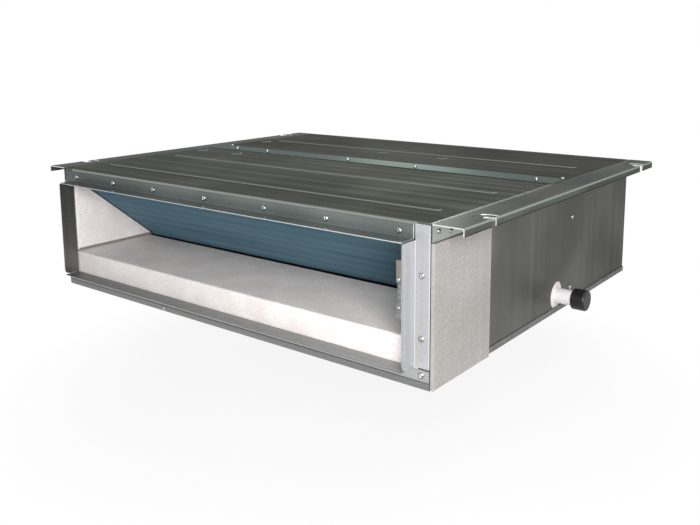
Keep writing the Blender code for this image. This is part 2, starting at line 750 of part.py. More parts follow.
# Foam cheeks: the air path's side walls, cut to the coil's slope
def foam_cheek(side, name):
    low = SILL_TOP + GAP
    high = WALL_HIGH - SHEET - 0.0005
    top = coil_point(0.0, -FOAM_SHADOW)
    reach = (top[1] - low) / math.sin(COIL_LEAN)
    foot = coil_point(reach, -FOAM_SHADOW)
    shift = Vector((-SLOPE.x, -SLOPE.y)) * FOAM_SHADOW
    a = coil_point(0.0, -FOAM_SHADOW)
    a = (a[0] + shift.x, a[1] + shift.y)
    rise = (high - a[1]) / NORMAL.y
    outline = [(at(FOAM_FRONT), low), (at(FOAM_FRONT), high),
               (a[0] + rise * NORMAL.x, high), a, foot]
    cheek = prism(outline, "X", side * (OPEN_HALF - 0.0005), side * FOAM_HALF)
    soften(cheek, 0.0030, 3, lambda mid, run: abs(mid.y - at(FOAM_FRONT)) < 1e-5
           and abs(run.z) > 0.05 and abs(abs(mid.x) - (OPEN_HALF - 0.0005)) < 1e-5)
    face = OPEN_HALF - 0.0005
    notch = block((side * (face - 0.002), at(FOAM_FRONT - 0.002), low - 0.002),
                  (side * (face + CHEEK_NOTCH), at(COVER_SEAM + 0.060), low + CHEEK_NOTCH))
    return finish(cut(cheek, [notch]), name, FOAM, 50)


foam_cheek(1, "foam_cheek_right")
foam_cheek(-1, "foam_cheek_left")

# Evaporator: fin pack, end plates with their return bends, header and pipes
slab = [coil_point(0, 0), coil_point(0, COIL_THICK),
        coil_point(COIL_LONG, COIL_THICK), coil_point(COIL_LONG, 0)]
finish(prism(slab, "X", -COIL_HALF, COIL_HALF), "coil_fins", FIN_BLUE)


def coil_end(side, pairs, name):
    """An end plate that stands on the pan, with U bends joining tube pairs."""
    foot_low = PAN_END_TOP + GAP
    low_y, low_z = coil_point(COIL_LONG, 0)
    back_y, back_z = coil_point(COIL_LONG, COIL_THICK + 0.003)
    outline = [coil_point(0, 0), coil_point(0, COIL_THICK),
               coil_point(0.012, COIL_THICK + 0.003), (back_y, back_z),
               (back_y + 0.010, foot_low), (low_y + 0.003, foot_low), (low_y, low_z)]
    face = COIL_HALF + GAP
    plate = prism(outline, "X", side * face, side * (face + 0.0012))
    bends = []
    for row in range(TUBE_ROWS):
        for col in pairs:
            y0, z0 = coil_tube(row, col)
            y1, z1 = coil_tube(row, col + 1)
            radius = math.hypot(y1 - y0, z1 - z0) / 2
            start = face + 0.0004
            path = [(side * start, y0, z0)]
            for k in range(6):
                a = math.pi * k / 5
                t = (1 - math.cos(a)) / 2
                path.append((side * (face + 0.0012 + BEND_OUT + radius * math.sin(a)),
                             y0 + (y1 - y0) * t, z0 + (z1 - z0) * t))
            path.append((side * start, y1, z1))
            bends.append(swept(path, TUBE_R, 6))
    return finish(join(plate, bends), name, STEEL)


coil_end(1, (0, 2, 4, 6), "coil_end_right")
coil_end(-1, (1, 3, 5), "coil_end_left")

path = []
for along in GAS_ALONG:
    y, z = coil_point(along, GAS_DEEP)
    path.append((-GAS_X, y, z))
y, z = coil_point(GAS_ALONG[1], GAS_DEEP)
for k in range(1, 6):
    a = math.pi / 2 * k / 5
    run = GAS_BEND * math.sin(a)
    path.append((-(GAS_X + GAS_BEND * (1 - math.cos(a))),
                 y + run * SLOPE.x, z + run * SLOPE.y))
path.append((-GAS_END, gas_y, gas_z))
finish(swept(path, GAS_R, 16), "gas_pipe", COPPER)
liquid_start = COIL_HALF + GAP + 0.0012 + GAP
finish(swept([(-liquid_start, liquid_y, liquid_z), (-LIQUID_END, liquid_y, liquid_z)],
             LIQUID_R, 12), "liquid_pipe", COPPER)


def flare_nut(name, y, z, bore, across, x0, x1):
    """A hexagon nut round a pipe end, along X."""
    body = prism(circle(y, z, across / math.sqrt(3), 6, math.pi / 6), "X", -x1, -x0)
    hole = prism(circle(y, z, bore + GAP, 20), "X", -(x1 + 0.002), -(x0 - 0.002))
    return finish(cut(body, [hole]), name, BRASS)


flare_nut("gas_nut", gas_y, gas_z, GAS_R, 0.0240, GAS_END - 0.024, GAS_END - 0.003)
flare_nut("liquid_nut", liquid_y, liquid_z, LIQUID_R, 0.0160,
          LIQUID_END - 0.018, LIQUID_END - 0.003)


# Drain spouts and the rubber cap on the unused one
def drain_spout(side, name):
    inner = trough_half + 0.0060 + GAP
    outer = HALF + DRAIN_OUT
    profile = [(side * inner, DRAIN_BORE), (side * inner, DRAIN_R),
               (side * outer, DRAIN_R), (side * outer, DRAIN_BORE)]
    return finish(lathe(profile, (at(DRAIN_Y), DRAIN_Z), 28), name, WHITE)


drain_spout(1, "drain_spout_right")
drain_spout(-1, "drain_spout_left")
hollow_end = CAP_END - CAP_WALL
edge = 0.0012
cap_profile = [(CAP_START, DRAIN_R + GAP), (CAP_START, CAP_R - edge),
               (CAP_START + edge, CAP_R), (CAP_END - edge * 2.2, CAP_R),
               (CAP_END - edge * 0.6, CAP_R - edge * 0.6),
               (CAP_END, CAP_R - edge * 2.2), (CAP_END, 0.0),
               (hollow_end, 0.0), (hollow_end, DRAIN_R + GAP)]
finish(lathe(cap_profile, (at(DRAIN_Y), DRAIN_Z), 32), "drain_cap", BLACK, 50)

# Fan deck: the partition with a folded top edge and two outlets
web = block((-FOAM_HALF, at(DECK_Y), FOAM_FRONT),
            (FOAM_HALF, at(DECK_Y + DECK_T), WALL_HIGH - SHEET - 0.0005))
fold = FOLD_IN - 0.0015
deck_top = folded([(at(DECK_Y - DECK_FOLD), WALL_HIGH), (at(DECK_Y + DECK_T), WALL_HIGH),
                   (at(DECK_Y + DECK_T), WALL_HIGH - 0.0100)], DECK_T, -1, FOLD_R)
deck_foot = folded([(at(DECK_Y + DECK_FOOT), WALL_LOW), (at(DECK_Y), WALL_LOW),
                    (at(DECK_Y), WALL_LOW + 0.0100)], DECK_T, -1, FOLD_R)
parts = [prism(deck_top, "X", -fold, fold), prism(deck_foot, "X", -fold, fold)]
deck = join(web, parts)
windows = []
for side in (-1, 1):
    windows.append(block((side * (SCROLL_X - SCROLL_W / 2 + 0.006), at(DECK_Y - 0.01),
                          AXIS_Z + OUTLET_LOW + 0.004),
                         (side * (SCROLL_X + SCROLL_W / 2 - 0.006), at(DECK_Y + 0.01),
                          AXIS_Z + SCROLL_MAX - 0.004)))
finish(cut(deck, windows), "fan_deck", ZINC)


# Fan housings: a spiral that opens forward through the deck
def spiral(extra, mouth):
    """Outline of the scroll in (y, z), grown by extra, its mouth at a depth."""
    points = [(at(mouth), AXIS_Z + SCROLL_MAX + extra)]
    steps = 18
    for k in range(steps + 1):
        a = math.radians(270.0 * (1 - k / steps))
        r = SCROLL_MIN + (SCROLL_MAX - SCROLL_MIN) * (a / math.radians(270.0)) + extra
        points.append((at(AXIS_Y) - r * math.cos(a), AXIS_Z - r * math.sin(a)))
    nose = AXIS_Y - SCROLL_MIN - extra
    points.append((at(nose + 0.0005), AXIS_Z + 0.006 - extra))
    points.append((at(nose - 0.0035), AXIS_Z + OUTLET_LOW - extra))
    points.append((at(mouth), AXIS_Z + OUTLET_LOW - extra))
    return points


def scroll(side, name):
    mouth = DECK_Y + DECK_T + GAP
    x0 = side * (SCROLL_X - SCROLL_W / 2)
    x1 = side * (SCROLL_X + SCROLL_W / 2)
    shell = prism(spiral(SCROLL_T, mouth), "X", x0, x1)
    hollow = prism(spiral(0.0, mouth - 0.005), "X",
                   x0 + side * SCROLL_T, x1 - side * SCROLL_T)
    inlet = prism(circle(at(AXIS_Y), AXIS_Z, INLET_R, 32), "X",
                  x0 - side * 0.005, x1 + side * 0.005)
    return finish(cut(shell, [hollow, inlet]), name, DARK)


scroll(1, "fan_scroll_right")
scroll(-1, "fan_scroll_left")

# Rotor: the shaft and two wheels of forward-curved blades turn together
rotor = bpy.data.objects.new("rotor_axis", None)
rotor.location = (0.0, at(AXIS_Y), AXIS_Z)
bpy.context.scene.collection.objects.link(rotor)
bpy.context.view_layer.update()


def blade_outline(turn):
    """One blade: a thin curved strip whose tip leans into the rotation."""
    face, back = [], []
    for k in range(3):
        t = k / 2
        r = WHEEL_IN + (WHEEL_R - WHEEL_IN) * t
        a = turn + 0.13 * t * t
        for line, thick in ((face, -BLADE_T / 2), (back, BLADE_T / 2)):
            bend = a + thick / r
            line.append((at(AXIS_Y) - r * math.cos(bend), AXIS_Z + r * math.sin(bend)))
    return face + back[::-1]


def fan_wheel(side, name):
    x0 = SCROLL_X - WHEEL_W / 2
    x1 = SCROLL_X + WHEEL_W / 2
    centre = (at(AXIS_Y), AXIS_Z)
    rings = []
    for low in (x0, x1 - 0.004):
        profile = [(side * low, WHEEL_IN + 0.0020), (side * low, WHEEL_R + 0.0006),
                   (side * (low + 0.004), WHEEL_R + 0.0006),
                   (side * (low + 0.004), WHEEL_IN + 0.0020)]
        rings.append(lathe(profile, centre, BLADES))
    middle = side * SCROLL_X
    hub = [(middle - 0.0140, SHAFT_R + GAP), (middle - 0.0140, 0.0120), (middle - 0.0012, 0.0130),
           (middle - 0.0012, WHEEL_R - 0.002), (middle + 0.0012, WHEEL_R - 0.002),
           (middle + 0.0012, 0.0130), (middle + 0.0140, 0.0120), (middle + 0.0140, SHAFT_R + GAP)]
    wheel = lathe(hub, centre, BLADES)
    blades = []
    for k in range(BLADES):
        turn = 2 * math.pi * k / BLADES
        blades.append(prism(blade_outline(turn), "X", side * (x0 + 0.001), side * (x1 - 0.001)))
    return finish(join(wheel, blades + rings), name, DARK, parent=rotor)


fan_wheel(1, "fan_wheel_right")
fan_wheel(-1, "fan_wheel_left")
shaft_half = SCROLL_X + 0.0200
shaft = prism(circle(at(AXIS_Y), AXIS_Z, SHAFT_R, 20), "X", -shaft_half, shaft_half)
finish(shaft, "fan_shaft", STEEL, parent=rotor)

# Motor: a drum with stepped bosses and a running bore for the shaft
half = MOTOR_W / 2
boss = half + BOSS_W
bore = SHAFT_R + GAP
motor_profile = [(-boss, bore), (-boss, BOSS_R), (-half, BOSS_R),
                 (-half, MOTOR_R - 0.010), (-half + 0.008, MOTOR_R),
                 (-0.004, MOTOR_R), (-0.004, MOTOR_R + 0.002), (0.004, MOTOR_R + 0.002),
                 (0.004, MOTOR_R), (half - 0.008, MOTOR_R), (half, MOTOR_R - 0.010),
                 (half, BOSS_R), (boss, BOSS_R), (boss, bore)]
finish(lathe(motor_profile, (at(AXIS_Y), AXIS_Z), 20), "fan_motor", STEEL)

# Motor cradle on the bottom panel, and a strap over each boss
foot_z = WALL_LOW
cradle_y = (at(AXIS_Y - CRADLE_HALF), at(AXIS_Y + CRADLE_HALF))
cradle = block((-(boss - 0.001), cradle_y[0], foot_z), (boss - 0.001, cradle_y[1], foot_z + 0.002))
uprights = []
for side in (-1, 1):
    ear = [(cradle_y[0], foot_z), (cradle_y[1], foot_z),
           (at(AXIS_Y + EAR_HALF), AXIS_Z - GAP), (at(AXIS_Y - EAR_HALF), AXIS_Z - GAP)]
    uprights.append(prism(ear, "X", side * (half + 0.003), side * (boss - 0.003)))
cradle = join(cradle, uprights)
seat = prism(circle(at(AXIS_Y), AXIS_Z, BOSS_R + GAP, 24), "X", -(boss + 0.01), boss + 0.01)
finish(cut(cradle, [seat]), "motor_cradle", ZINC)
for side, name in ((1, "motor_strap_right"), (-1, "motor_strap_left")):
    arch = [(at(AXIS_Y - EAR_HALF), AXIS_Z), (at(AXIS_Y + EAR_HALF), AXIS_Z),
            (at(AXIS_Y + EAR_HALF), AXIS_Z + 0.0030)]
    for k in range(9):
        a = math.radians(8 + 164 * k / 8)
        arch.append((at(AXIS_Y) + (BOSS_R + 0.0025) * math.cos(a),
                     AXIS_Z + (BOSS_R + 0.0025) * math.sin(a)))
    arch.append((at(AXIS_Y - EAR_HALF), AXIS_Z + 0.0030))
    strap = prism(arch, "X", side * (half + 0.004), side * (boss - 0.004))
    hole = prism(circle(at(AXIS_Y), AXIS_Z, BOSS_R + GAP, 24), "X",
                 side * half, side * (boss + 0.002))
    finish(cut(strap, [hole]), name, ZINC)

# Control box on the left wall, its cover, and what it holds
box_in = WALL_OUT + GAP
box_out = box_in + BOX_OUT
outer = block((-box_out, at(BOX_Y[0]), BOX_Z[0]), (-box_in, at(BOX_Y[1]), BOX_Z[1]))
inner = block((-(box_out + 0.002), at(BOX_Y[0] + SHEET), BOX_Z[0] + SHEET),
              (-(box_in + SHEET), at(BOX_Y[1] - SHEET), BOX_Z[1] - SHEET))
port = prism(circle(at(CABLE_Y), CABLE_Z, CABLE_R, 24), "X", -(box_in + 0.003), -(box_in - 0.002))
entry = prism(circle(-(box_in + BOX_OUT / 2), BOX_Z[0] + 0.0200, 0.0110, 24), "Y",
              at(BOX_Y[0] - 0.003), at(BOX_Y[0] + 0.004))
finish(cut(outer, [inner, port, entry]), "control_box", ZINC)
lid_out = box_out + GAP + SHEET
lid = block((-lid_out, at(BOX_Y[0] - GAP - SHEET), BOX_Z[0] - GAP - SHEET),
            (-(box_out - LID_LAP), at(BOX_Y[1] + GAP + SHEET), BOX_Z[1] + GAP + SHEET))
soften(lid, 0.0008, 2, lambda mid, run: abs(mid.x + lid_out) < 1e-5)
room = block((-(lid_out - SHEET), at(BOX_Y[0] - GAP), BOX_Z[0] - GAP),
             (-(box_out - LID_LAP - 0.0020), at(BOX_Y[1] + GAP), BOX_Z[1] + GAP))
finish(cut(lid, [room]), "control_cover", ZINC)

base_x = box_in + SHEET + GAP
board_y = BOX_Y[0] + BOARD_EDGE
board_z = BOX_Z[0] + BOARD_EDGE
board_tall = BOX_Z[1] - BOARD_TOP - board_z
board_in = base_x + BOARD_STAND
board_out = board_in + 0.0016
board = block((-board_out, at(board_y), board_z),
              (-board_in, at(board_y + BOARD_LONG), board_z + board_tall))
parts = []
for y in (board_y + 0.0060, board_y + BOARD_LONG - 0.0060):
    for z in (board_z + 0.0060, board_z + board_tall - 0.0060):
        parts.append(prism(circle(at(y), z, 0.0030, 10), "X", -(board_in + 0.0005), -base_x))
root = board_out - 0.0006
parts.append(block((-(root + 0.0190), at(board_y + 0.0150), board_z + board_tall - 0.0350),
                   (-root, at(board_y + 0.0400), board_z + board_tall - 0.0150)))
parts.append(block((-(root + 0.0110), at(board_y + 0.0600), board_z + 0.0150),
                   (-root, at(board_y + 0.0900), board_z + 0.0300)))
parts.append(prism(circle(at(board_y + 0.0300), board_z + 0.0300, 0.0090, 16), "X",
                   -(root + 0.0230), -root))
finish(join(board, parts), "control_board", BOARD)
term_y = board_y + BOARD_LONG + 0.0150
term_z = BOX_Z[0] + 0.0250
rib = 0.0018
can_z = BOX_Z[1] - CAN_DROP
ways = round((can_z - CAN_R - 0.0120 - rib - term_z) / WAY)
terminal = block((-(base_x + 0.0140), at(term_y), term_z),
                 (-base_x, at(term_y + 0.0220), term_z + WAY * ways + rib))
walls = []
for k in range(ways + 1):
    z = term_z + WAY * k
    walls.append(block((-(base_x + 0.0200), at(term_y + 0.0010), z),
                       (-(base_x + 0.0130), at(term_y + 0.0210), z + rib)))
finish(join(terminal, walls), "terminal_block", WHITE)
can = prism(stadium(at(term_y), at(term_y + 0.0350), can_z, CAN_R, 6), "X",
            -(base_x + 0.0400), -base_x)
finish(can, "fan_capacitor", DARK)

# Return side: frame with its window, filter guides and stop
frame = block((-WALL_OUT, at(CASE_D - SHEET), WALL_LOW), (WALL_OUT, at(CASE_D), WALL_HIGH))
window = block((-WINDOW_HALF, at(CASE_D - 0.01), WINDOW_Z[0]),
               (WINDOW_HALF, at(CASE_D + 0.01), WINDOW_Z[1]))
finish(cut(frame, [window]), "return_frame", ZINC)
guide_y0 = CASE_D + GAP
guide_y1 = guide_y0 + GUIDE_D
for side, name in ((1, "filter_guide_right"), (-1, "filter_guide_left")):
    channel = folded([(GUIDE_IN, at(guide_y0)), (GUIDE_OUT, at(guide_y0)),
                      (GUIDE_OUT, at(guide_y1)), (GUIDE_IN, at(guide_y1))], SHEET, 1, FOLD_R)
    if side < 0:
        channel = mirror_outline(channel)
    finish(prism(channel, "Z", GUIDE_LOW, CASE_H - GUIDE_DROP), name, ZINC)
stop_low = FILTER_Z[1] + GAP
stop = prism(folded([(at(guide_y1 - 0.0012), stop_low), (at(guide_y0), stop_low),
                     (at(guide_y0), stop_low + 0.0110)], SHEET, -1, FOLD_R),
             "X", -(GUIDE_IN - 0.001), GUIDE_IN - 0.001)
finish(stop, "filter_stop", ZINC)

filter_half = GUIDE_OUT - SHEET - GAP * 2
filter_y0 = guide_y0 + SHEET + (GUIDE_D - 2 * SHEET - FILTER_T) / 2
filter_y1 = filter_y0 + FILTER_T
panel = block((-filter_half, at(filter_y0), FILTER_Z[0]), (filter_half, at(filter_y1), FILTER_Z[1]))
rim = 0.0200
bars = 6
cutters = [block((-(filter_half - 0.014), at(filter_y1 - 0.0020), FILTER_Z[0] + 0.012),
                 (filter_half - 0.014, at(filter_y1 + 0.002), FILTER_Z[1] - 0.012))]
cell = (2 * (filter_half - rim) + 0.005) / bars
middle = (FILTER_Z[0] + FILTER_Z[1]) / 2
for k in range(bars):
    x0 = -(filter_half - rim) + cell * k
    for z0, z1 in ((FILTER_Z[0] + rim, middle - 0.0025), (middle + 0.0025, FILTER_Z[1] - rim)):
        cutters.append(block((x0, at(filter_y0 - 0.002), z0),
                             (x0 + cell - 0.005, at(filter_y1 + 0.001), z1)))
frame = cut(panel, cutters)
tab = block((-0.030, at(filter_y0 + 0.004), FILTER_Z[0] - 0.010),
            (0.030, at(filter_y1 - 0.001), FILTER_Z[0] + 0.002))
finish(join(frame, [tab]), "filter_frame", DARK)
net = block((-(filter_half - 0.014 - GAP), at(filter_y1 - 0.0017), FILTER_Z[0] + 0.012 + GAP),
            (filter_half - 0.014 - GAP, at(filter_y1 - 0.0007), FILTER_Z[1] - 0.012 - GAP))
finish(net, "filter_net", MESH)
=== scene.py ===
"""Looks of a slim ducted air conditioner: galvanised casing, blue fin pack, white foam, black cap.

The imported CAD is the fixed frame. Its nodes keep their shape and get finished materials here.
Screws, the fin pack and the filter net are new pieces, worked out with numpy in the same frame:
X is the width, +Y runs to the rear, +Z is up, in metres.
"""
import math

import bpy
import numpy as np
from mathutils import Euler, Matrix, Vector


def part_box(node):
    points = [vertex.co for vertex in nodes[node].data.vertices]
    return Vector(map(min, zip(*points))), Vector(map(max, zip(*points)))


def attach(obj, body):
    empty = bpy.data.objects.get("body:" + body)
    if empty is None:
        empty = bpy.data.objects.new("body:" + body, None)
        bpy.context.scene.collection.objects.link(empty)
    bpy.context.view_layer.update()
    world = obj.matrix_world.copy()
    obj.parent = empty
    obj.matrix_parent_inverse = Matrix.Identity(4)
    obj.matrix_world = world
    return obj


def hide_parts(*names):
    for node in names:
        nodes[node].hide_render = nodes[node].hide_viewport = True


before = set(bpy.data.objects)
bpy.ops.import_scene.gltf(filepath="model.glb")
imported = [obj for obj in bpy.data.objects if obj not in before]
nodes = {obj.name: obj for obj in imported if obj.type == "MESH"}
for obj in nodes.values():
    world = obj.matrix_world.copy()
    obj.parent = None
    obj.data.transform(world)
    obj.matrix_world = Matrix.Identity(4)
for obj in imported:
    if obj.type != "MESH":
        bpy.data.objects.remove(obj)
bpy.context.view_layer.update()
MM = 0.001

# Sheet of the rails, and how far down the folded outer edge of their flange reaches
RAIL_SHEET = 1.5 * MM
RAIL_LIP = 10.8 * MM

# Planes and edges of the casing, read from the frame
rail_low, rail_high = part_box("hanger_rail_right")
cover_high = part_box("side_cover_right")[1]
panel_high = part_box("top_panel_rear")[1]
apron_low, apron_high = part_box("collar_top")
leg_low, leg_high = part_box("collar_right")
clip_low, clip_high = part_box("outlet_clip")
lid_low, lid_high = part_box("control_cover")
hem_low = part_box("bottom_panel_front")[0]
FRONT = rail_low.y
TOP = rail_high.z
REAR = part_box("return_frame")[1].y
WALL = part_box("side_panel_right")[1].x
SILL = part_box("drain_pan")[1].z
RAIL_LEG = rail_low.x + RAIL_SHEET
FLANGE_LOW = TOP - RAIL_LIP
LIP_EDGE = apron_low.y
BEND = leg_low.x


def from_front(depth_mm):
    """Y of a depth in millimetres behind the front plane."""
    return FRONT + depth_mm * MM


# The rear panel's raised lap over the front one, in millimetres behind the front plane
BAND_MM = (358.0, 408.5)
BAND_TOP = panel_high.z


# Colour and material helpers

def linear(text):
    """An sRGB hex colour as linear red, green, blue and 1 for alpha."""
    parts = [int(text[i:i + 2], 16) / 255 for i in (1, 3, 5)]
    curve = [c / 12.92 if c <= 0.04045 else ((c + 0.055) / 1.055) ** 2.4 for c in parts]
    return (*curve, 1.0)


def node(tree, kind, values=None, links=None, **settings):
    """Add a shader node with its settings, socket values and links; a linked node gives output 0."""
    made = tree.nodes.new(kind)
    for key, value in settings.items():
        setattr(made, key, value)
    for key, value in (values or {}).items():
        made.inputs[key].default_value = value
    for key, source in (links or {}).items():
        tree.links.new(source.outputs[0] if hasattr(source, "outputs") else source,
                       made.inputs[key])
    return made


def blank(name, metallic, roughness, **sockets):
    """A Principled material with its tree, shader and texture coordinates."""
    mat = bpy.data.materials.new(name)
    mat.use_nodes = True
    tree = mat.node_tree
    shader = tree.nodes["Principled BSDF"]
    shader.inputs["Metallic"].default_value = metallic
    shader.inputs["Roughness"].default_value = roughness
    for key, value in sockets.items():
        shader.inputs[key.replace("_", " ")].default_value = value
    return mat, tree, shader, node(tree, "ShaderNodeTexCoord")


def inside(tree, place, boxes):
    """1 inside any box; a box is a list of (output, axis, low, high) tests that all hold.

    The output is Object or Normal, or Mirror for the Object coordinates without their signs.
    """
    mirror = node(tree, "ShaderNodeVectorMath", None, {0: place.outputs["Object"]},
                  operation="ABSOLUTE")
    source = {"Object": place.outputs["Object"], "Normal": place.outputs["Normal"],
              "Mirror": mirror.outputs[0]}
    split = {}
    total = None
    for box in boxes:
        both = None
        for output, axis, low, high in box:
            if output not in split:
                split[output] = node(tree, "ShaderNodeSeparateXYZ", None, {0: source[output]})
            hit = node(tree, "ShaderNodeMath", {1: (low + high) / 2, 2: (high - low) / 2},
                       {0: split[output].outputs[axis]}, operation="COMPARE")
            if both is not None:
                hit = node(tree, "ShaderNodeMath", None, {0: both, 1: hit}, operation="MULTIPLY")
            both = hit
        if total is not None:
            both = node(tree, "ShaderNodeMath", None, {0: total, 1: both}, operation="MAXIMUM")
        total = both
    return total


# Sizes of the patterns, in millimetres. Zinc crystals on thin sheet are about 1 mm across and are
# drawn coarser to show.
STREAK_LONG = 900.0
STREAK_WIDE = 14.0
CRYSTAL = 2.6
CLOUD = 190.0
FOAM_BEAD = 4.2
FOAM_GRAIN = 2.4
FOAM_CLOUD = 45.0
FIN_LONG = 240.0
FIN_WIDE = 12.0
SOFT_CLOUD = 30.0


def galvanised(name, dark, pale, roll="X", metal=0.8, rough=0.34, speck=0.35, glance=0.2,
               level=0.5, cast=None, marks=()):
    """Hot-dip zinc on rolled steel: fine grey crystals, faint rolling streaks, a soft mirror.

    The streaks run along roll. The oxide film dulls the mirror at a glancing view, to the share
    given by glance. Each mark is a colour, a glance of its own and the boxes where it shows.
    """
    mat, tree, shader, place = blank(name, metal, rough, Specular_IOR_Level=level,
                                     Specular_Tint=(glance, glance, glance, 1))
    here = place.outputs["Object"]
    scale = [1 / (STREAK_LONG * MM) if axis == roll else 1 / (STREAK_WIDE * MM) for axis in "XYZ"]
    lie = node(tree, "ShaderNodeMapping", {"Scale": scale}, {"Vector": here})
    streak = node(tree, "ShaderNodeTexNoise", {"Scale": 1.0, "Detail": 3.0}, {"Vector": lie})
    crystal = node(tree, "ShaderNodeTexNoise", {"Scale": 1 / (CRYSTAL * MM), "Detail": 2.0},
                   {"Vector": here})
    wide = node(tree, "ShaderNodeMapRange", {1: 0.32, 2: 0.68, 3: 0.0, 4: 1.0 - speck}, {0: streak},
                interpolation_type="SMOOTHSTEP")
    fine = node(tree, "ShaderNodeMapRange", {1: 0.35, 2: 0.68, 3: 0.0, 4: speck}, {0: crystal},
                interpolation_type="SMOOTHSTEP")
    tone = node(tree, "ShaderNodeMath", None, {0: wide, 1: fine}, operation="ADD")
    colour = node(tree, "ShaderNodeMix", {6: linear(dark), 7: linear(pale)}, {0: tone},
                  data_type="RGBA").outputs[2]
    if cast:
        cloud = node(tree, "ShaderNodeTexNoise", {"Scale": 1 / (CLOUD * MM), "Detail": 1.0},
                     {"Vector": here})
        drift = node(tree, "ShaderNodeMapRange", {1: 0.4, 2: 0.62}, {0: cloud},
                     interpolation_type="SMOOTHSTEP")
        colour = node(tree, "ShaderNodeMix", {7: linear(cast)}, {0: drift, 6: colour},
                      data_type="RGBA", blend_type="MULTIPLY").outputs[2]
    dulled = {}
    for shade, clear, boxes in marks:
        there = inside(tree, place, boxes)
        colour = node(tree, "ShaderNodeMix", {7: linear(shade)}, {0: there, 6: colour},
                      data_type="RGBA").outputs[2]
        if clear != glance:
            dulled = {2: node(tree, "ShaderNodeMix", {2: glance, 3: clear}, {0: there, **dulled})}
            tree.links.new(dulled[2].outputs[0], shader.inputs["Specular Tint"])
    tree.links.new(colour, shader.inputs["Base Color"])
    gloss = node(tree, "ShaderNodeMapRange", {1: 0.3, 2: 0.7, 3: rough - 0.02, 4: rough + 0.03},
                 {0: streak})
    tree.links.new(gloss.outputs[0], shader.inputs["Roughness"])
    relief = node(tree, "ShaderNodeBump", {"Strength": 0.5, "Distance": 0.004 * MM},
                  {"Height": crystal})
    tree.links.new(relief.outputs[0], shader.inputs["Normal"])
    return mat


def expanded_foam(name, dark, pale, seam, gap_shade, gap_shade_box):
    """Expanded polystyrene, steam moulded: matt white beads about 4 mm across, pressed flat.

    Painted shade darkens the box given, along the joint between two mouldings.
    """
    mat, tree, shader, place = blank(name, 0.0, 0.82, IOR=1.45)
    here = place.outputs["Object"]
    cell = node(tree, "ShaderNodeTexVoronoi", {"Scale": 1 / (FOAM_BEAD * MM)}, {"Vector": here},
                feature="DISTANCE_TO_EDGE")
    joint = node(tree, "ShaderNodeMapRange", {1: 0.0, 2: 0.14}, {0: cell})
    cloud = node(tree, "ShaderNodeTexNoise", {"Scale": 1 / (FOAM_CLOUD * MM), "Detail": 3.0},
                 {"Vector": here})
    drift = node(tree, "ShaderNodeMapRange", {1: 0.35, 2: 0.65}, {0: cloud},
                 interpolation_type="SMOOTHSTEP")
    body = node(tree, "ShaderNodeMix", {6: linear(dark), 7: linear(pale)}, {0: drift},
                data_type="RGBA").outputs[2]
    beads = node(tree, "ShaderNodeMix", {6: linear(seam)}, {0: joint, 7: body}, data_type="RGBA")
    colour = node(tree, "ShaderNodeMix", {7: linear(gap_shade)},
                  {0: inside(tree, place, [gap_shade_box]), 6: beads.outputs[2]}, data_type="RGBA")
    tree.links.new(colour.outputs[2], shader.inputs["Base Color"])
    grain = node(tree, "ShaderNodeTexNoise", {"Scale": 1 / (FOAM_GRAIN * MM), "Detail": 2.0},
                 {"Vector": here})
    height = node(tree, "ShaderNodeMath", {1: 0.35}, {0: grain, 2: joint},
                  operation="MULTIPLY_ADD")
    relief = node(tree, "ShaderNodeBump", {"Strength": 0.4, "Distance": 0.1 * MM},
                  {"Height": height})
    tree.links.new(relief.outputs[0], shader.inputs["Normal"])
    return mat


def coated_fins(name, dark, pale, foot_shade, along, pitch, foot):
    """Blue hydrophilic lacquer on thin rolled aluminium: satin, a shade paler between tubes.

    The bands follow the distance along the coil's slope, one for each row of tubes. Beyond foot,
    at the bottom of the coil in the pan, the fins are painted near black as shade.
    """
    mat, tree, shader, place = blank(name, 0.25, 0.45)
    here = place.outputs["Object"]
    run = node(tree, "ShaderNodeVectorMath", {1: along}, {0: here}, operation="DOT_PRODUCT")
    turn = node(tree, "ShaderNodeMath", {1: 2 * math.pi / pitch}, {0: run.outputs["Value"]},
                operation="MULTIPLY")
    wave = node(tree, "ShaderNodeMath", None, {0: turn}, operation="SINE")
    scale = (1 / (FIN_LONG * MM), 1 / (FIN_WIDE * MM), 1 / (FIN_WIDE * MM))
    lie = node(tree, "ShaderNodeMapping", {"Scale": scale}, {"Vector": here})
    drift = node(tree, "ShaderNodeTexNoise", {"Scale": 1.0, "Detail": 3.0}, {"Vector": lie})
    tone = node(tree, "ShaderNodeMath", {1: 0.11}, {0: wave, 2: drift}, operation="MULTIPLY_ADD")
    share = node(tree, "ShaderNodeMapRange", {1: 0.2, 2: 0.8}, {0: tone})
    colour = node(tree, "ShaderNodeMix", {6: linear(dark), 7: linear(pale)}, {0: share},
                  data_type="RGBA").outputs[2]
    foot_in_shade = node(tree, "ShaderNodeMapRange", {1: foot, 2: foot + 1.0 * MM}, {0: run.outputs["Value"]})
    colour = node(tree, "ShaderNodeMix", {7: linear(foot_shade)}, {0: foot_in_shade, 6: colour},
                  data_type="RGBA").outputs[2]
    tree.links.new(colour, shader.inputs["Base Color"])
    gloss = node(tree, "ShaderNodeMapRange", {1: 0.3, 2: 0.7, 3: 0.38, 4: 0.52}, {0: drift})
    tree.links.new(gloss.outputs[0], shader.inputs["Roughness"])
    return mat


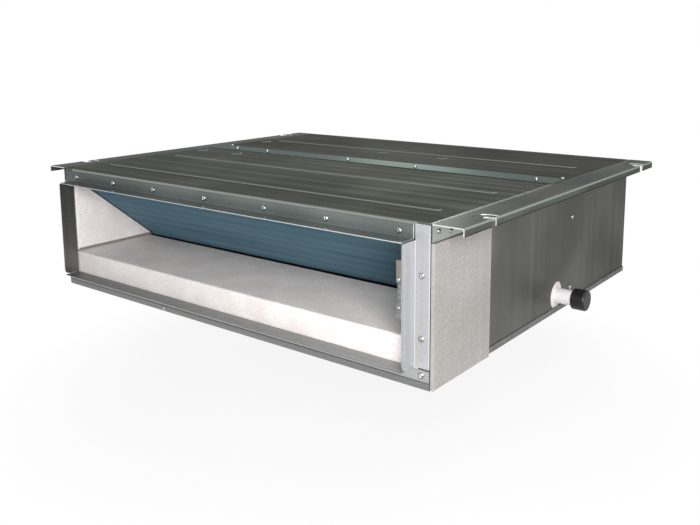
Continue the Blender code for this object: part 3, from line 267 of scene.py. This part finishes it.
def plain_finish(name, dark, pale, metallic, rough, grain_mm, depth_mm, **sockets):
    """A moulded, drawn or turned surface: two close shades, uneven gloss and fine relief."""
    mat, tree, shader, place = blank(name, metallic, rough, **sockets)
    here = place.outputs["Object"]
    cloud = node(tree, "ShaderNodeTexNoise", {"Scale": 1 / (SOFT_CLOUD * MM), "Detail": 3.0},
                 {"Vector": here})
    grain = node(tree, "ShaderNodeTexNoise", {"Scale": 1 / (grain_mm * MM), "Detail": 2.0},
                 {"Vector": here})
    share = node(tree, "ShaderNodeMapRange", {1: 0.3, 2: 0.7}, {0: cloud})
    colour = node(tree, "ShaderNodeMix", {6: linear(dark), 7: linear(pale)}, {0: share},
                  data_type="RGBA")
    tree.links.new(colour.outputs[2], shader.inputs["Base Color"])
    gloss = node(tree, "ShaderNodeMapRange", {1: 0.3, 2: 0.7, 3: rough - 0.05, 4: rough + 0.06},
                 {0: grain})
    tree.links.new(gloss.outputs[0], shader.inputs["Roughness"])
    relief = node(tree, "ShaderNodeBump", {"Strength": 0.6, "Distance": depth_mm * MM},
                  {"Height": grain})
    tree.links.new(relief.outputs[0], shader.inputs["Normal"])
    return mat


# Finishes of this unit's pieces; each comment says what the making gives the eye, and where light
# or shade is painted

# Faces by the way they point, and the widths of the lines of painted highlight or shade along edges and
# bends
FACES_FRONT = ("Normal", 1, -1.1, -0.8)
FACES_LEFT = ("Normal", 0, -1.1, -0.8)
FACES_RIGHT = ("Normal", 0, 0.8, 1.1)
FACES_UP = ("Normal", 2, 0.8, 1.1)
CUT_LINE = 1.2 * MM
LIP_LINE = 0.9 * MM
BEND_LINE = 2.2 * MM
# Pressed beads and dimples, whose slopes get a painted highlight
SLOPE_HIGHLIGHT = [("Normal", 2, 0.3, 0.996), ("Object", 1, from_front(8.0), from_front(690.0)),
          ("Mirror", 0, 0.0, panel_high.x - 4.0 * MM)]
# Top: dark zinc with a faint green cast and streaks along the roll. Its front bend and its right
# edge get painted highlights, and so do the slopes of its pressings.
zinc_top = galvanised("galvanised top sheet", "#7a7c77", "#868883", metal=1.0, rough=0.42,
                      speck=0.15, glance=0.13, cast="#f0f1ee",
                      marks=(("#9a9d99", 0.2, [[FACES_FRONT]]),
                             ("#9a9f99", 0.7, [[("Object", 0, panel_high.x - 2.0 * MM, 1.0)]]),
                             ("#828580", 0.45, [SLOPE_HIGHLIGHT])))
# The lap over the front sheet is a fresher strip, greener than the rest; the slopes of its
# pressings get a painted highlight
zinc_rear = galvanised("galvanised rear top sheet", "#70716d", "#7c7d79", metal=1.0, rough=0.42,
                       speck=0.15, glance=0.14, cast="#f0f0ed",
                       marks=(("#78847f", 0.25, [[("Object", 1, from_front(BAND_MM[0] - 2),
                                                  from_front(BAND_MM[1] + 1))]]),
                              ("#7e807c", 0.45, [SLOPE_HIGHLIGHT])))
# Sides: the same sheet with its streaks upright
zinc_side = galvanised("galvanised side sheet", "#767673", "#7e7e7b", roll="Z", rough=0.36,
                       speck=0.15, cast="#e2e2e0")
# Covers: a paler, passivated sheet, chalky and speckled, with a painted highlight along the rear
# cut edge
zinc_pale = galvanised("passivated cover sheet", "#989390", "#ada8a5", roll="Z", metal=0.1,
                       rough=0.5, speck=0.75, glance=1.0, cast="#eef0ee",
                       marks=(("#d0d0ce", 1.0, [[("Object", 1, cover_high.y - CUT_LINE,
                                                  cover_high.y)]]),))
# Rails: folded channels with slots and washer seats. Painted highlights on the outer bend, on the
# right rail's inner top edge and, near white, on the sheared end faces; painted light on the legs
# under the flange; painted shade along the flange's lower edge
zinc_rail = galvanised("galvanised rail", "#666a64", "#737771", roll="Y", speck=0.15,
                       cast="#dadcd6",
                       marks=(("#9aa09b", 0.5, [[("Mirror", 0, rail_high.x - BEND_LINE, rail_high.x),
                                                 ("Object", 2, TOP - BEND_LINE, TOP)]]),
                              ("#a2a7a2", 0.7, [[("Object", 0, rail_low.x, rail_low.x + 2.5 * MM),
                                                 FACES_UP]]),
                              ("#a0a6a0", 1.0, [[FACES_LEFT,
                                                 ("Object", 0, -RAIL_LEG - MM, -RAIL_LEG + MM)],
                                                [FACES_RIGHT,
                                                 ("Object", 0, RAIL_LEG - MM, RAIL_LEG + MM)]]),
                              ("#2c2e2c", 0.2, [[("Mirror", 0, rail_high.x - 2.0 * MM, 1.0),
                                                 ("Object", 2, FLANGE_LOW, FLANGE_LOW + MM)]]),
                              ("#e4e6e4", 1.0, [[("Normal", 1, -1.1, -0.3),
                                                 ("Mirror", 0, RAIL_LEG, 1.0)],
                                                [("Normal", 1, 0.3, 1.1),
                                                 ("Mirror", 0, RAIL_LEG, 1.0)]])))
# Apron: smoother sheet, so the screws show in it; painted highlights along the lip's cut edge and
# the right end
zinc_apron = galvanised("galvanised apron", "#636967", "#737977", metal=0.3, rough=0.2, level=0.3,
                        cast="#e2e5e2",
                        marks=(("#c4c7c6", 1.0, [[("Object", 1, LIP_EDGE, LIP_EDGE + LIP_LINE)],
                                                 [("Object", 0, apron_high.x - CUT_LINE,
                                                   apron_high.x)]]),))
# Right angle: smooth zinc, painted bright for the light it gets; painted shade along its front edge,
# where the sheet turns away, and painted highlights on its outer edge, its upward faces and its inner
# bend
zinc_collar_lit = galvanised("zinc collar painted lit", "#a2a2a4", "#b2b2b4", roll="Z", metal=0.3,
                         rough=0.15, speck=0.3, glance=1.0,
                         marks=(("#7c7c7e", 1.0, [[("Object", 1, LIP_EDGE, LIP_EDGE + CUT_LINE)]]),
                                ("#cacacb", 1.0, [[("Object", 0, leg_high.x - MM, leg_high.x)],
                                                  [FACES_UP]]),
                                ("#c6c6c8", 1.0, [[("Object", 0, BEND + 1.4 * MM, BEND + 2.4 * MM),
                                                   FACES_FRONT]])))
# Left angle: the same zinc painted duller and browner, as in shade; bottom angle, paler, with a
# painted line of shade along its lip's edge; bottom and inner sheets
zinc_shade = galvanised("zinc collar painted in shade", "#6e6c6c", "#82807f", roll="Z", rough=0.3)
zinc_low = galvanised("galvanised bottom collar", "#a6a8a7", "#babcbb", metal=0.8, rough=0.3,
                      glance=0.1,
                      marks=(("#969898", 0.1, [[("Object", 1, LIP_EDGE, LIP_EDGE + LIP_LINE)]]),))
zinc_tray = galvanised("galvanised bottom sheet", "#808180", "#949594")
zinc_inner = galvanised("galvanised inner sheet", "#8b8f8c", "#a4a8a5")
# Clip: raw zinc with a pale upper ear
CLIP_EAR = 25 * MM
zinc_clip = galvanised("galvanised clip", "#6c6e6c", "#989a98", speck=0.8,
                       marks=(("#8c857a", 0.2, [[("Object", 2, clip_high.z - CLIP_EAR, clip_high.z)]]),))
# Foam: white beads; along the joint between cheek and pan, a band of painted shade on the upright cheek
GAP_SHADE_HIGH = 6.4 * MM
foam_white = expanded_foam("expanded polystyrene", "#e8e1de", "#f4efec", "#ded6d3", "#8a817d",
                           [("Object", 2, SILL, SILL + GAP_SHADE_HIGH), ("Normal", 2, -0.5, 0.5),
                            ("Normal", 1, -0.5, 0.5)])
# Coil: the slope that its front follows, down and back, the pitch of its tubes and its foot,
# painted near black as shade
COIL_SLOPE = math.radians(38.8)
TUBE_PITCH = 26.26 * MM
DOWN_COIL = (0.0, math.cos(COIL_SLOPE), -math.sin(COIL_SLOPE))
SHADED_FOOT = 18.5 * MM
coil_spots = np.array([v.co[:] for v in nodes["coil_fins"].data.vertices])
COIL_FOOT = float((coil_spots @ np.array(DOWN_COIL)).max()) - SHADED_FOOT
fin_lacquer = coated_fins("blue coated aluminium", "#587a8e", "#7696a4", "#0c1013", DOWN_COIL,
                          TUBE_PITCH, COIL_FOOT)
# Drawn, turned, pressed and moulded pieces
copper = plain_finish("drawn copper tube", "#a8623f", "#c47e57", 1.0, 0.26, 1.5, 0.01)
brass = plain_finish("turned brass", "#b08d4a", "#c9a863", 1.0, 0.24, 0.8, 0.008)
end_plate = plain_finish("zinc plated end plate", "#8b8f90", "#a7abac", 0.9, 0.32, 2.0, 0.01)
shaft_steel = plain_finish("ground steel shaft", "#a9abac", "#bcbebf", 1.0, 0.2, 0.6, 0.003)
motor_shell = plain_finish("pressed zinc motor shell", "#84888a", "#a0a4a6", 0.9, 0.36, 1.8, 0.01)
white_pipe = plain_finish("moulded white PVC", "#cbc8ca", "#d6d4d5", 0.0, 0.34, 1.2, 0.01, IOR=1.53)
black_cap = plain_finish("moulded black rubber", "#0a0a0c", "#121215", 0.0, 0.42, 1.0, 0.02,
                         IOR=1.42)
fan_plastic = plain_finish("moulded black ABS", "#1f2022", "#2b2c2f", 0.0, 0.42, 1.4, 0.02,
                           IOR=1.53)
filter_plastic = plain_finish("moulded grey ABS", "#2c2e31", "#3a3c40", 0.0, 0.45, 1.4, 0.02,
                              IOR=1.53)
net_thread = plain_finish("polypropylene net", "#3a4148", "#525a62", 0.0, 0.5, 1.0, 0.01, IOR=1.49)
board_lacquer = plain_finish("lacquered circuit board", "#1c5a34", "#267244", 0.0, 0.35, 1.2, 0.01,
                             IOR=1.5)
can_plastic = plain_finish("moulded capacitor can", "#2b2d30", "#383a3e", 0.0, 0.4, 1.2, 0.01,
                           IOR=1.53)
zinc_screw = plain_finish("bright zinc plated screw", "#9a9ea2", "#aeb2b6", 1.0, 0.16, 0.8, 0.004)

finish_of = {
    "top_panel_front": zinc_top, "top_panel_rear": zinc_rear,
    "bottom_panel_front": zinc_tray, "bottom_panel_rear": zinc_tray,
    "side_panel_left": zinc_side, "side_panel_right": zinc_side,
    "side_cover_left": zinc_pale, "side_cover_right": zinc_pale,
    "hanger_rail_left": zinc_rail, "hanger_rail_right": zinc_rail,
    "collar_top": zinc_apron, "collar_bottom": zinc_low,
    "collar_left": zinc_shade, "collar_right": zinc_collar_lit, "outlet_clip": zinc_clip,
    "drain_pan": foam_white, "foam_cheek_left": foam_white, "foam_cheek_right": foam_white,
    "coil_end_left": end_plate, "coil_end_right": end_plate, "coil_fins": fin_lacquer,
    "gas_pipe": copper, "liquid_pipe": copper, "gas_nut": brass, "liquid_nut": brass,
    "drain_spout_left": white_pipe, "drain_spout_right": white_pipe, "drain_cap": black_cap,
    "fan_deck": zinc_inner, "fan_scroll_left": fan_plastic, "fan_scroll_right": fan_plastic,
    "fan_wheel_left": fan_plastic, "fan_wheel_right": fan_plastic, "fan_shaft": shaft_steel,
    "fan_motor": motor_shell, "motor_cradle": zinc_inner, "motor_strap_left": zinc_inner,
    "motor_strap_right": zinc_inner, "control_box": zinc_inner, "control_cover": zinc_inner,
    "control_board": board_lacquer, "terminal_block": white_pipe, "fan_capacitor": can_plastic,
    "return_frame": zinc_side, "filter_guide_left": zinc_inner, "filter_guide_right": zinc_inner,
    "filter_stop": zinc_inner, "filter_frame": filter_plastic, "filter_net": net_thread,
}
for name, look in finish_of.items():
    for slot in nodes[name].material_slots:
        slot.material = look


# Mesh helpers

def mesh_piece(name, points, faces, mat, body="casing", smooth=35.0):
    """An object from an array of points and one of quads, on a body, with its finish."""
    mesh = bpy.data.meshes.new(name)
    mesh.from_pydata(points.reshape(-1, 3).tolist(), [], faces.reshape(-1, 4).tolist())
    mesh.materials.append(mat)
    mesh.update()
    mesh.shade_smooth()
    mesh.set_sharp_from_angle(angle=math.radians(smooth))
    made = bpy.data.objects.new(name, mesh)
    bpy.context.scene.collection.objects.link(made)
    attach(made, body)
    return made


# Fin pack: thin plates across the coil, each cut to the coil's leaning section.
# Real fins stand about 1.6 mm apart and 0.1 mm thick; these are drawn coarser to show.
FIN_PITCH = 2.0 * MM
FIN_THICK = 0.3 * MM


def fin_pack():
    """Plates at x = x0 + i pitch, each the slab's four-cornered section pushed to its thickness."""
    low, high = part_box("coil_fins")
    corners = [np.argmin(coil_spots[:, 1]), np.argmax(coil_spots[:, 2]),
               np.argmax(coil_spots[:, 1]), np.argmin(coil_spots[:, 2])]
    section = coil_spots[corners][:, 1:]
    count = int((high.x - low.x) / FIN_PITCH)
    x = low.x + (np.arange(count) + 0.5) * (high.x - low.x) / count
    sides = np.array([-0.5, 0.5]) * FIN_THICK
    points = np.zeros((count, 2, 4, 3))
    points[..., 0] = x[:, None, None] + sides[None, :, None]
    points[..., 1:] = section[None, None]
    one = np.array([[0, 1, 2, 3], [7, 6, 5, 4], [0, 4, 5, 1], [1, 5, 6, 2], [2, 6, 7, 3],
                    [3, 7, 4, 0]])
    faces = one[None] + 8 * np.arange(count)[:, None, None]
    made = mesh_piece("fin_plates", points, faces, fin_lacquer)
    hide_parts("coil_fins")
    return made


fin_pack()

# Filter net: two layers of square threads, drawn coarser than the real 1 mm net to show
NET_PITCH = 2.6 * MM
NET_THREAD = 0.5 * MM


def filter_net():
    """Upright threads at x = x0 + i pitch behind level ones at z = z0 + j pitch."""
    low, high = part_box("filter_net")
    half = NET_THREAD / 2
    mid = (low.y + high.y) / 2
    across = np.arange(low.x + half, high.x - half, NET_PITCH)
    up = np.arange(low.z + half, high.z - half, NET_PITCH)
    corner = np.array([[-1, -1], [1, -1], [1, 1], [-1, 1]]) * half
    tall = np.zeros((len(across), 2, 4, 3))
    tall[..., 0] = across[:, None, None] + corner[None, None, :, 0]
    tall[..., 1] = mid - half * 0.8 + corner[None, None, :, 1]
    tall[:, 0, :, 2] = low.z
    tall[:, 1, :, 2] = high.z
    level = np.zeros((len(up), 2, 4, 3))
    level[:, 0, :, 0] = low.x
    level[:, 1, :, 0] = high.x
    level[..., 1] = mid + half * 0.8 + corner[None, None, :, 1]
    level[..., 2] = up[:, None, None] + corner[None, None, :, 0]
    points = np.concatenate([tall, level])
    one = np.array([[0, 3, 2, 1], [4, 5, 6, 7], [0, 1, 5, 4], [1, 2, 6, 5], [2, 3, 7, 6],
                    [3, 0, 4, 7]])
    faces = one[None] + 8 * np.arange(len(points))[:, None, None]
    made = mesh_piece("filter_threads", points, faces, net_thread, "air_filter")
    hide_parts("filter_net")
    return made


filter_net()

# Screws; a head sinks a little into its seat, and each is driven a steady angle further
HEAD_RINGS = 12
HEAD_SPOKES = 32
HEAD_SINK = 0.3 * MM
TURN_FIRST = 0.7
TURN_STEP = 2.4


def pan_head(radius, height):
    """Points of one head: a dome on a short rim, with a cross recess, closed underneath.

    Height over the seat is h(1 - 0.6 t^3) for t = r / radius, less the recess, whose depth
    falls smoothly from the two arms of the cross.
    """
    t = np.concatenate([np.linspace(0.0, 1.0, HEAD_RINGS - 3), [1.0, 1.0, 0.0]])
    a = np.linspace(0.0, 2 * np.pi, HEAD_SPOKES, endpoint=False)
    r = radius * t[:, None]
    x = r * np.cos(a)
    y = r * np.sin(a)
    arm = 0.11 * radius
    reach = 0.48 * radius

    def step(value, limit, soft):
        """1 within the limit, falling smoothly to 0 over twice the softness."""
        s = np.clip((limit + soft - np.abs(value)) / (2 * soft), 0, 1)
        return s * s * (3 - 2 * s)

    cross = np.maximum(step(x, arm, arm * 0.5) * step(y, reach, reach * 0.2),
                       step(y, arm, arm * 0.5) * step(x, reach, reach * 0.2))
    z = height * (1 - 0.6 * t[:, None] ** 3) - 0.35 * height * cross
    z[-3] = 0.2 * height
    z[-2:] = -HEAD_SINK
    return np.stack([x, y, z], axis=-1)


def head_faces(count):
    """Quads of a number of heads laid one after the other."""
    i = np.arange(HEAD_RINGS - 1)[:, None]
    j = np.arange(HEAD_SPOKES)[None, :]
    k = (j + 1) % HEAD_SPOKES
    one = np.stack([i * HEAD_SPOKES + j, (i + 1) * HEAD_SPOKES + j,
                    (i + 1) * HEAD_SPOKES + k, i * HEAD_SPOKES + k], axis=-1)
    return one[None] + np.arange(count)[:, None, None, None] * HEAD_RINGS * HEAD_SPOKES


def screws(name, centres, normal, radius=4.2, height=2.7):
    """Pan-head screws on one flat face; centres in metres, head sizes in millimetres.

    Each head is turned about its own axis by a steady angle, as driven screws are.
    """
    centres = np.array(centres, float).reshape(-1, 3)
    n = np.array(normal, float)
    up = np.array((0.0, 0.0, 1.0)) if abs(n[2]) < 0.5 else np.array((0.0, 1.0, 0.0))
    side = np.cross(up, n)
    head = pan_head(radius * MM, height * MM)
    turn = TURN_STEP * np.arange(len(centres)) + TURN_FIRST
    c = np.cos(turn)[:, None, None]
    s = np.sin(turn)[:, None, None]
    x = c * head[..., 0] - s * head[..., 1]
    y = s * head[..., 0] + c * head[..., 1]
    points = (centres[:, None, None, :] + x[..., None] * side + y[..., None] * up
              + head[..., 2][None, ..., None] * n)
    made = mesh_piece(name, points, head_faces(len(centres)), zinc_screw, smooth=50.0)
    made.modifiers.new("close", "WELD").merge_threshold = 0.01 * MM
    return made


# Places in millimetres from the photograph: x from the middle, y behind the front plane, z up
APRON_X = (-362, -253, -144, -19, 110, 229, 351)
APRON_Z = 205
LEG_XZ = ((386, 151), (386, 67), (386, 17.7))
BAND_X = (-325, -237, -24, 131, 366)
BAND_Y = 369
RAIL_YZ = ((16, 208), (46, 203), (654, 203), (684, 208))
SIDE_YZ = ((443, 152), (444, 29))
HEM_XZ = (-127, 4.6)
CORNER_XY = (391, 416)
CLIP_XZ = ((369.2, 149.5), (369.2, 112.5))
FORWARD = (0, -1, 0)
RIGHT = (1, 0, 0)
LEFT = (-1, 0, 0)
UP = (0, 0, 1)
BACK = (0, 1, 0)
screws("apron_screws", [(x * MM, FRONT, APRON_Z * MM) for x in APRON_X], FORWARD)
screws("leg_screws", [(s * x * MM, FRONT, z * MM) for s in (1, -1) for x, z in LEG_XZ], FORWARD)
screws("band_screws", [(x * MM, from_front(BAND_Y), BAND_TOP) for x in BAND_X], UP, 2.4, 5.6)
screws("rail_screws_right", [(RAIL_LEG, from_front(y), z * MM) for y, z in RAIL_YZ], RIGHT, 3.4, 2.6)
screws("rail_screws_left", [(-RAIL_LEG, from_front(y), z * MM) for y, z in RAIL_YZ], LEFT, 3.4, 2.6)
screws("side_screws_right", [(WALL, from_front(y), z * MM) for y, z in SIDE_YZ], RIGHT, 3.8, 2.4)
screws("hem_screw", [(HEM_XZ[0] * MM, hem_low.y, HEM_XZ[1] * MM)], FORWARD, 3.8, 2.2)
screws("corner_screws", [(s * CORNER_XY[0] * MM, from_front(CORNER_XY[1]), TOP) for s in (1, -1)],
       UP, 2.6, 2.4)
screws("clip_screws", [(x * MM, clip_low.y, z * MM) for x, z in CLIP_XZ], FORWARD, 2.6, 1.8)

# Screws that the photograph doesn't show: the far side, the return frame and the control cover
LEFT_YZ = ((640, 152), (640, 29))
RETURN_TOP = [(x, 214) for x in (-300, -150, 0, 150, 300)]
RETURN_SIDES = [(s * 386, z) for s in (-1, 1) for z in (40, 110, 180)]
LID_INSET = 9 * MM
lid_spots = [(lid_low.x, y, z) for y in (lid_low.y + LID_INSET, lid_high.y - LID_INSET)
             for z in (lid_low.z + LID_INSET, lid_high.z - LID_INSET)]
screws("side_screws_left", [(-WALL, from_front(y), z * MM) for y, z in LEFT_YZ], LEFT, 3.8, 2.4)
screws("return_screws", [(x * MM, REAR, z * MM) for x, z in RETURN_TOP + RETURN_SIDES], BACK,
       3.4, 2.4)
screws("cover_screws", lid_spots, LEFT, 3.4, 2.4)

# Studio: a near soft box to the right of the outlet, weaker ones behind and high up on the right,
# and a dim room


def lamp(name, spot, aim, power, size):
    """A square soft box at a spot, turned to face a point."""
    light = bpy.data.lights.new(name, "AREA")
    light.energy = power
    light.size = size
    made = bpy.data.objects.new(name, light)
    made.location = spot
    made.rotation_mode = "QUATERNION"
    made.rotation_quaternion = (Vector(aim) - Vector(spot)).to_track_quat("-Z", "Y")
    bpy.context.scene.collection.objects.link(made)
    return made


lamp("key", (1.05, -1.2, 0.56), (0.25, -0.25, 0.1), 25.0, 0.65)
lamp("back", (-1.15, 1.9, 0.85), (0.3, -0.1, 0.2), 8.5, 0.5)
lamp("overhead", (0.8, -0.2, 1.3), (0.3, -0.1, 0.2), 4.0, 0.6)


def background_rays(tree):
    """1 for the rays that show the background: seen directly, in a mirror or through glass."""
    ray = node(tree, "ShaderNodeLightPath")
    seen = node(tree, "ShaderNodeMath", None,
                {0: ray.outputs["Is Camera Ray"], 1: ray.outputs["Is Glossy Ray"]},
                operation="MAXIMUM")
    return node(tree, "ShaderNodeMath", None, {0: seen, 1: ray.outputs["Is Transmission Ray"]},
                operation="MAXIMUM")


world = bpy.data.worlds.new("studio")
bpy.context.scene.world = world
world.use_nodes = True
sky = world.node_tree
room = node(sky, "ShaderNodeMix", {6: linear("#888a8c"), 7: linear("#ffffff")},
            {0: background_rays(sky)}, data_type="RGBA")
sky.links.new(room.outputs[2], sky.nodes["Background"].inputs["Color"])

# Floor: matt and pale, seen as near white, whiter away from the object; it keeps the shadow.
# The unit hangs from its rods, so the floor lies below the reach of the lowered filter.
FLOOR_HALF = 30.0
FLOOR_Z = -196.0 * MM
FLOOR_NEAR = 0.45
FLOOR_FAR = 0.75
NEAR_SHARE = 0.88
corner = [(-FLOOR_HALF, -FLOOR_HALF, FLOOR_Z), (FLOOR_HALF, -FLOOR_HALF, FLOOR_Z),
          (FLOOR_HALF, FLOOR_HALF, FLOOR_Z), (-FLOOR_HALF, FLOOR_HALF, FLOOR_Z)]
floor_mesh = bpy.data.meshes.new("floor")
floor_mesh.from_pydata(corner, [], [(0, 1, 2, 3)])
floor = bpy.data.objects.new("floor", floor_mesh)
bpy.context.scene.collection.objects.link(floor)
paint, tree, matt, place = blank("pale studio floor", 0.0, 0.9)
matt.inputs["Base Color"].default_value = linear("#f0f0f0")
glow = node(tree, "ShaderNodeEmission", {"Color": linear("#ffffff"), "Strength": 1.0})
far = node(tree, "ShaderNodeVectorMath", None, {0: place.outputs["Object"]}, operation="LENGTH")
white = node(tree, "ShaderNodeMapRange", {1: FLOOR_NEAR, 2: FLOOR_FAR, 3: NEAR_SHARE, 4: 1.0},
             {0: far.outputs["Value"]}, interpolation_type="SMOOTHSTEP")
share = node(tree, "ShaderNodeMath", None, {0: white, 1: background_rays(tree)},
             operation="MULTIPLY")
surface = node(tree, "ShaderNodeMixShader", None, {0: share, 1: matt, 2: glow})
tree.links.new(surface.outputs[0], tree.nodes["Material Output"].inputs["Surface"])
floor_mesh.materials.append(paint)

# Camera, solved from the photograph's corners. The photograph keeps its uprights nearly parallel,
# so the lens is shifted down as well as tilted. Turn, tilt and roll are in degrees.
TURN = 38.19
TILT = -9.43
ROLL = 0.39
camera_data = bpy.data.cameras.new("camera")
camera_data.lens = 41.28
camera_data.sensor_width = 36.0
camera_data.shift_y = -0.12
camera = bpy.data.objects.new("camera", camera_data)
aim = (Euler((0, 0, math.radians(TURN))).to_matrix()
       @ Euler((math.radians(TILT), 0, 0)).to_matrix()
       @ Euler((0, math.radians(ROLL), 0)).to_matrix()
       @ Euler((math.radians(90), 0, 0)).to_matrix())
camera.matrix_world = aim.to_4x4()
camera.location = (0.922, -1.177, 0.4395)
bpy.context.scene.collection.objects.link(camera)
bpy.context.scene.camera = camera
bpy.context.scene.view_settings.view_transform = "Standard"
